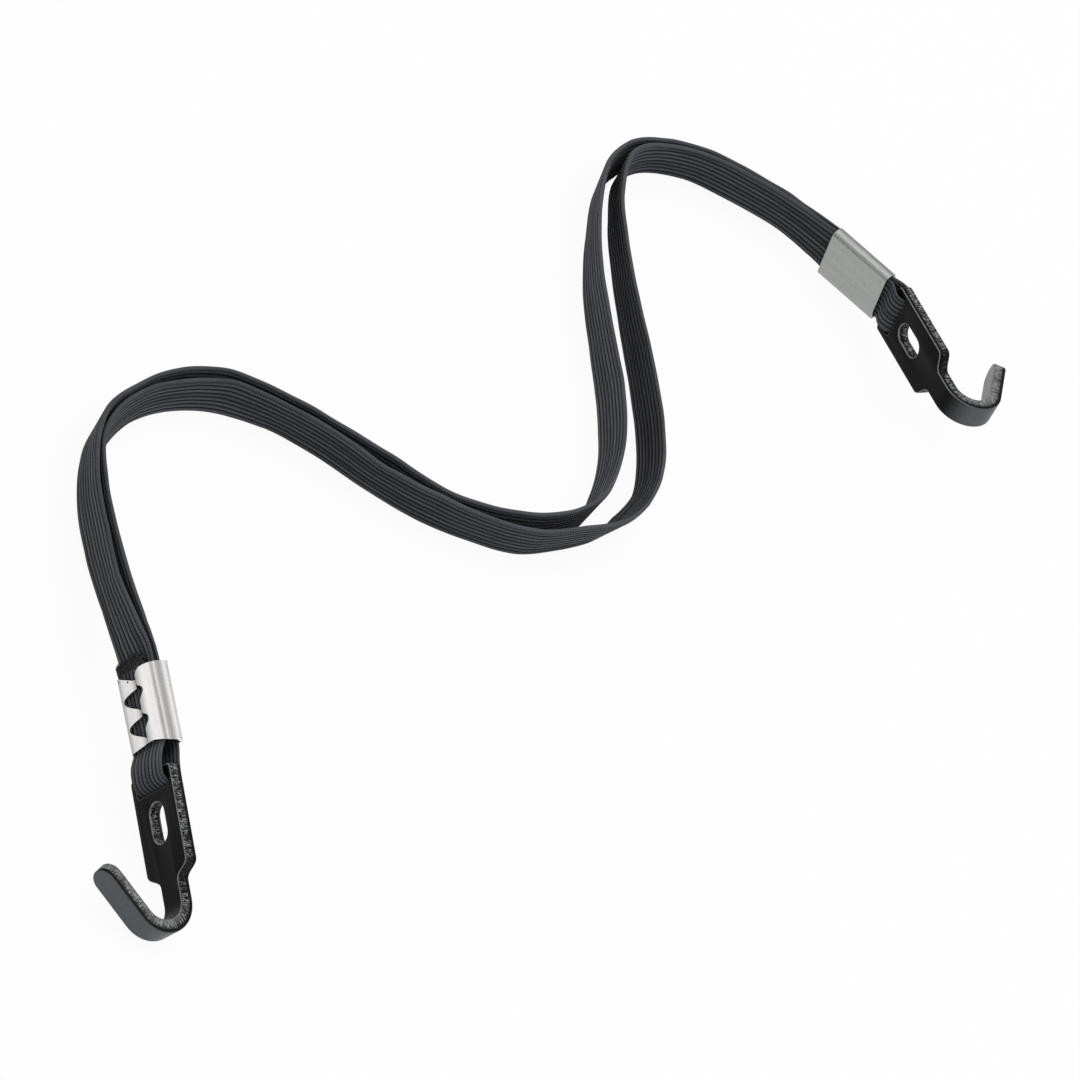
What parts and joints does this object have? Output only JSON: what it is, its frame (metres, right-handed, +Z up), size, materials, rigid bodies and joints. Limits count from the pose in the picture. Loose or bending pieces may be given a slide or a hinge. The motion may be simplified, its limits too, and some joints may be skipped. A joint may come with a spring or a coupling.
{
  "type": "elastic carrier strap",
  "caption": "Flat double elastic strap with a crimped ferrule and a flat stamped steel hook at each end, lying on edge in a loose S.",
  "frame": {"origin": "middle of the strap's box, on the surface that it lies on", "axes": "+Y from the left hook's end to the right hook's end, +Z up from the surface"},
  "size_m": [0.1256, 0.264, 0.0184],
  "materials": {
    "braid": "matt ribbed braid",
    "rubber": "matt",
    "plated": "satin plating",
    "paint": "gloss black"
  },
  "bodies": {
    "strap": {"back_strand_cover": "braid", "back_strand_thread_1": "rubber", "back_strand_thread_2": "rubber", "back_strand_thread_3": "rubber", "back_strand_thread_4": "rubber", "back_strand_thread_5": "rubber", "back_strand_thread_6": "rubber", "back_strand_thread_7": "rubber", "back_strand_thread_8": "rubber", "front_strand_cover": "braid", "front_strand_thread_1": "rubber", "front_strand_thread_2": "rubber", "front_strand_thread_3": "rubber", "front_strand_thread_4": "rubber", "front_strand_thread_5": "rubber", "front_strand_thread_6": "rubber", "front_strand_thread_7": "rubber", "front_strand_thread_8": "rubber", "right_ferrule": "plated", "right_loop": "braid"},
    "left_end": {"left_ferrule": "plated", "left_loop": "braid"},
    "left_hook": {"left_hook": "paint"},
    "right_hook": {"right_hook": "paint"}
  },
  "joints": [
    {"name": "strap_stretch", "type": "slide", "parent": "strap", "child": "left_end", "axis": [-0.1894, -0.9819, 0], "range_m": [0, 0.15], "stiffness_N_per_m": 100, "deforming": ["back_strand_cover", "back_strand_thread_1", "back_strand_thread_2", "back_strand_thread_3", "back_strand_thread_4", "back_strand_thread_5", "back_strand_thread_6", "back_strand_thread_7", "back_strand_thread_8", "front_strand_cover", "front_strand_thread_1", "front_strand_thread_2", "front_strand_thread_3", "front_strand_thread_4", "front_strand_thread_5", "front_strand_thread_6", "front_strand_thread_7", "front_strand_thread_8"]},
    {"name": "left_hook_swing", "type": "hinge", "parent": "left_end", "child": "left_hook", "pos_m": [-0.0092, -0.1073, 0.0096], "axis": [0.2286, -0.0694, 0.971], "range_deg": [-75, 75]},
    {"name": "right_hook_swing", "type": "hinge", "parent": "strap", "child": "right_hook", "pos_m": [0.0349, 0.1237, 0.0098], "axis": [0.1583, -0.06, -0.9856], "range_deg": [-90, 50]}
  ]
}
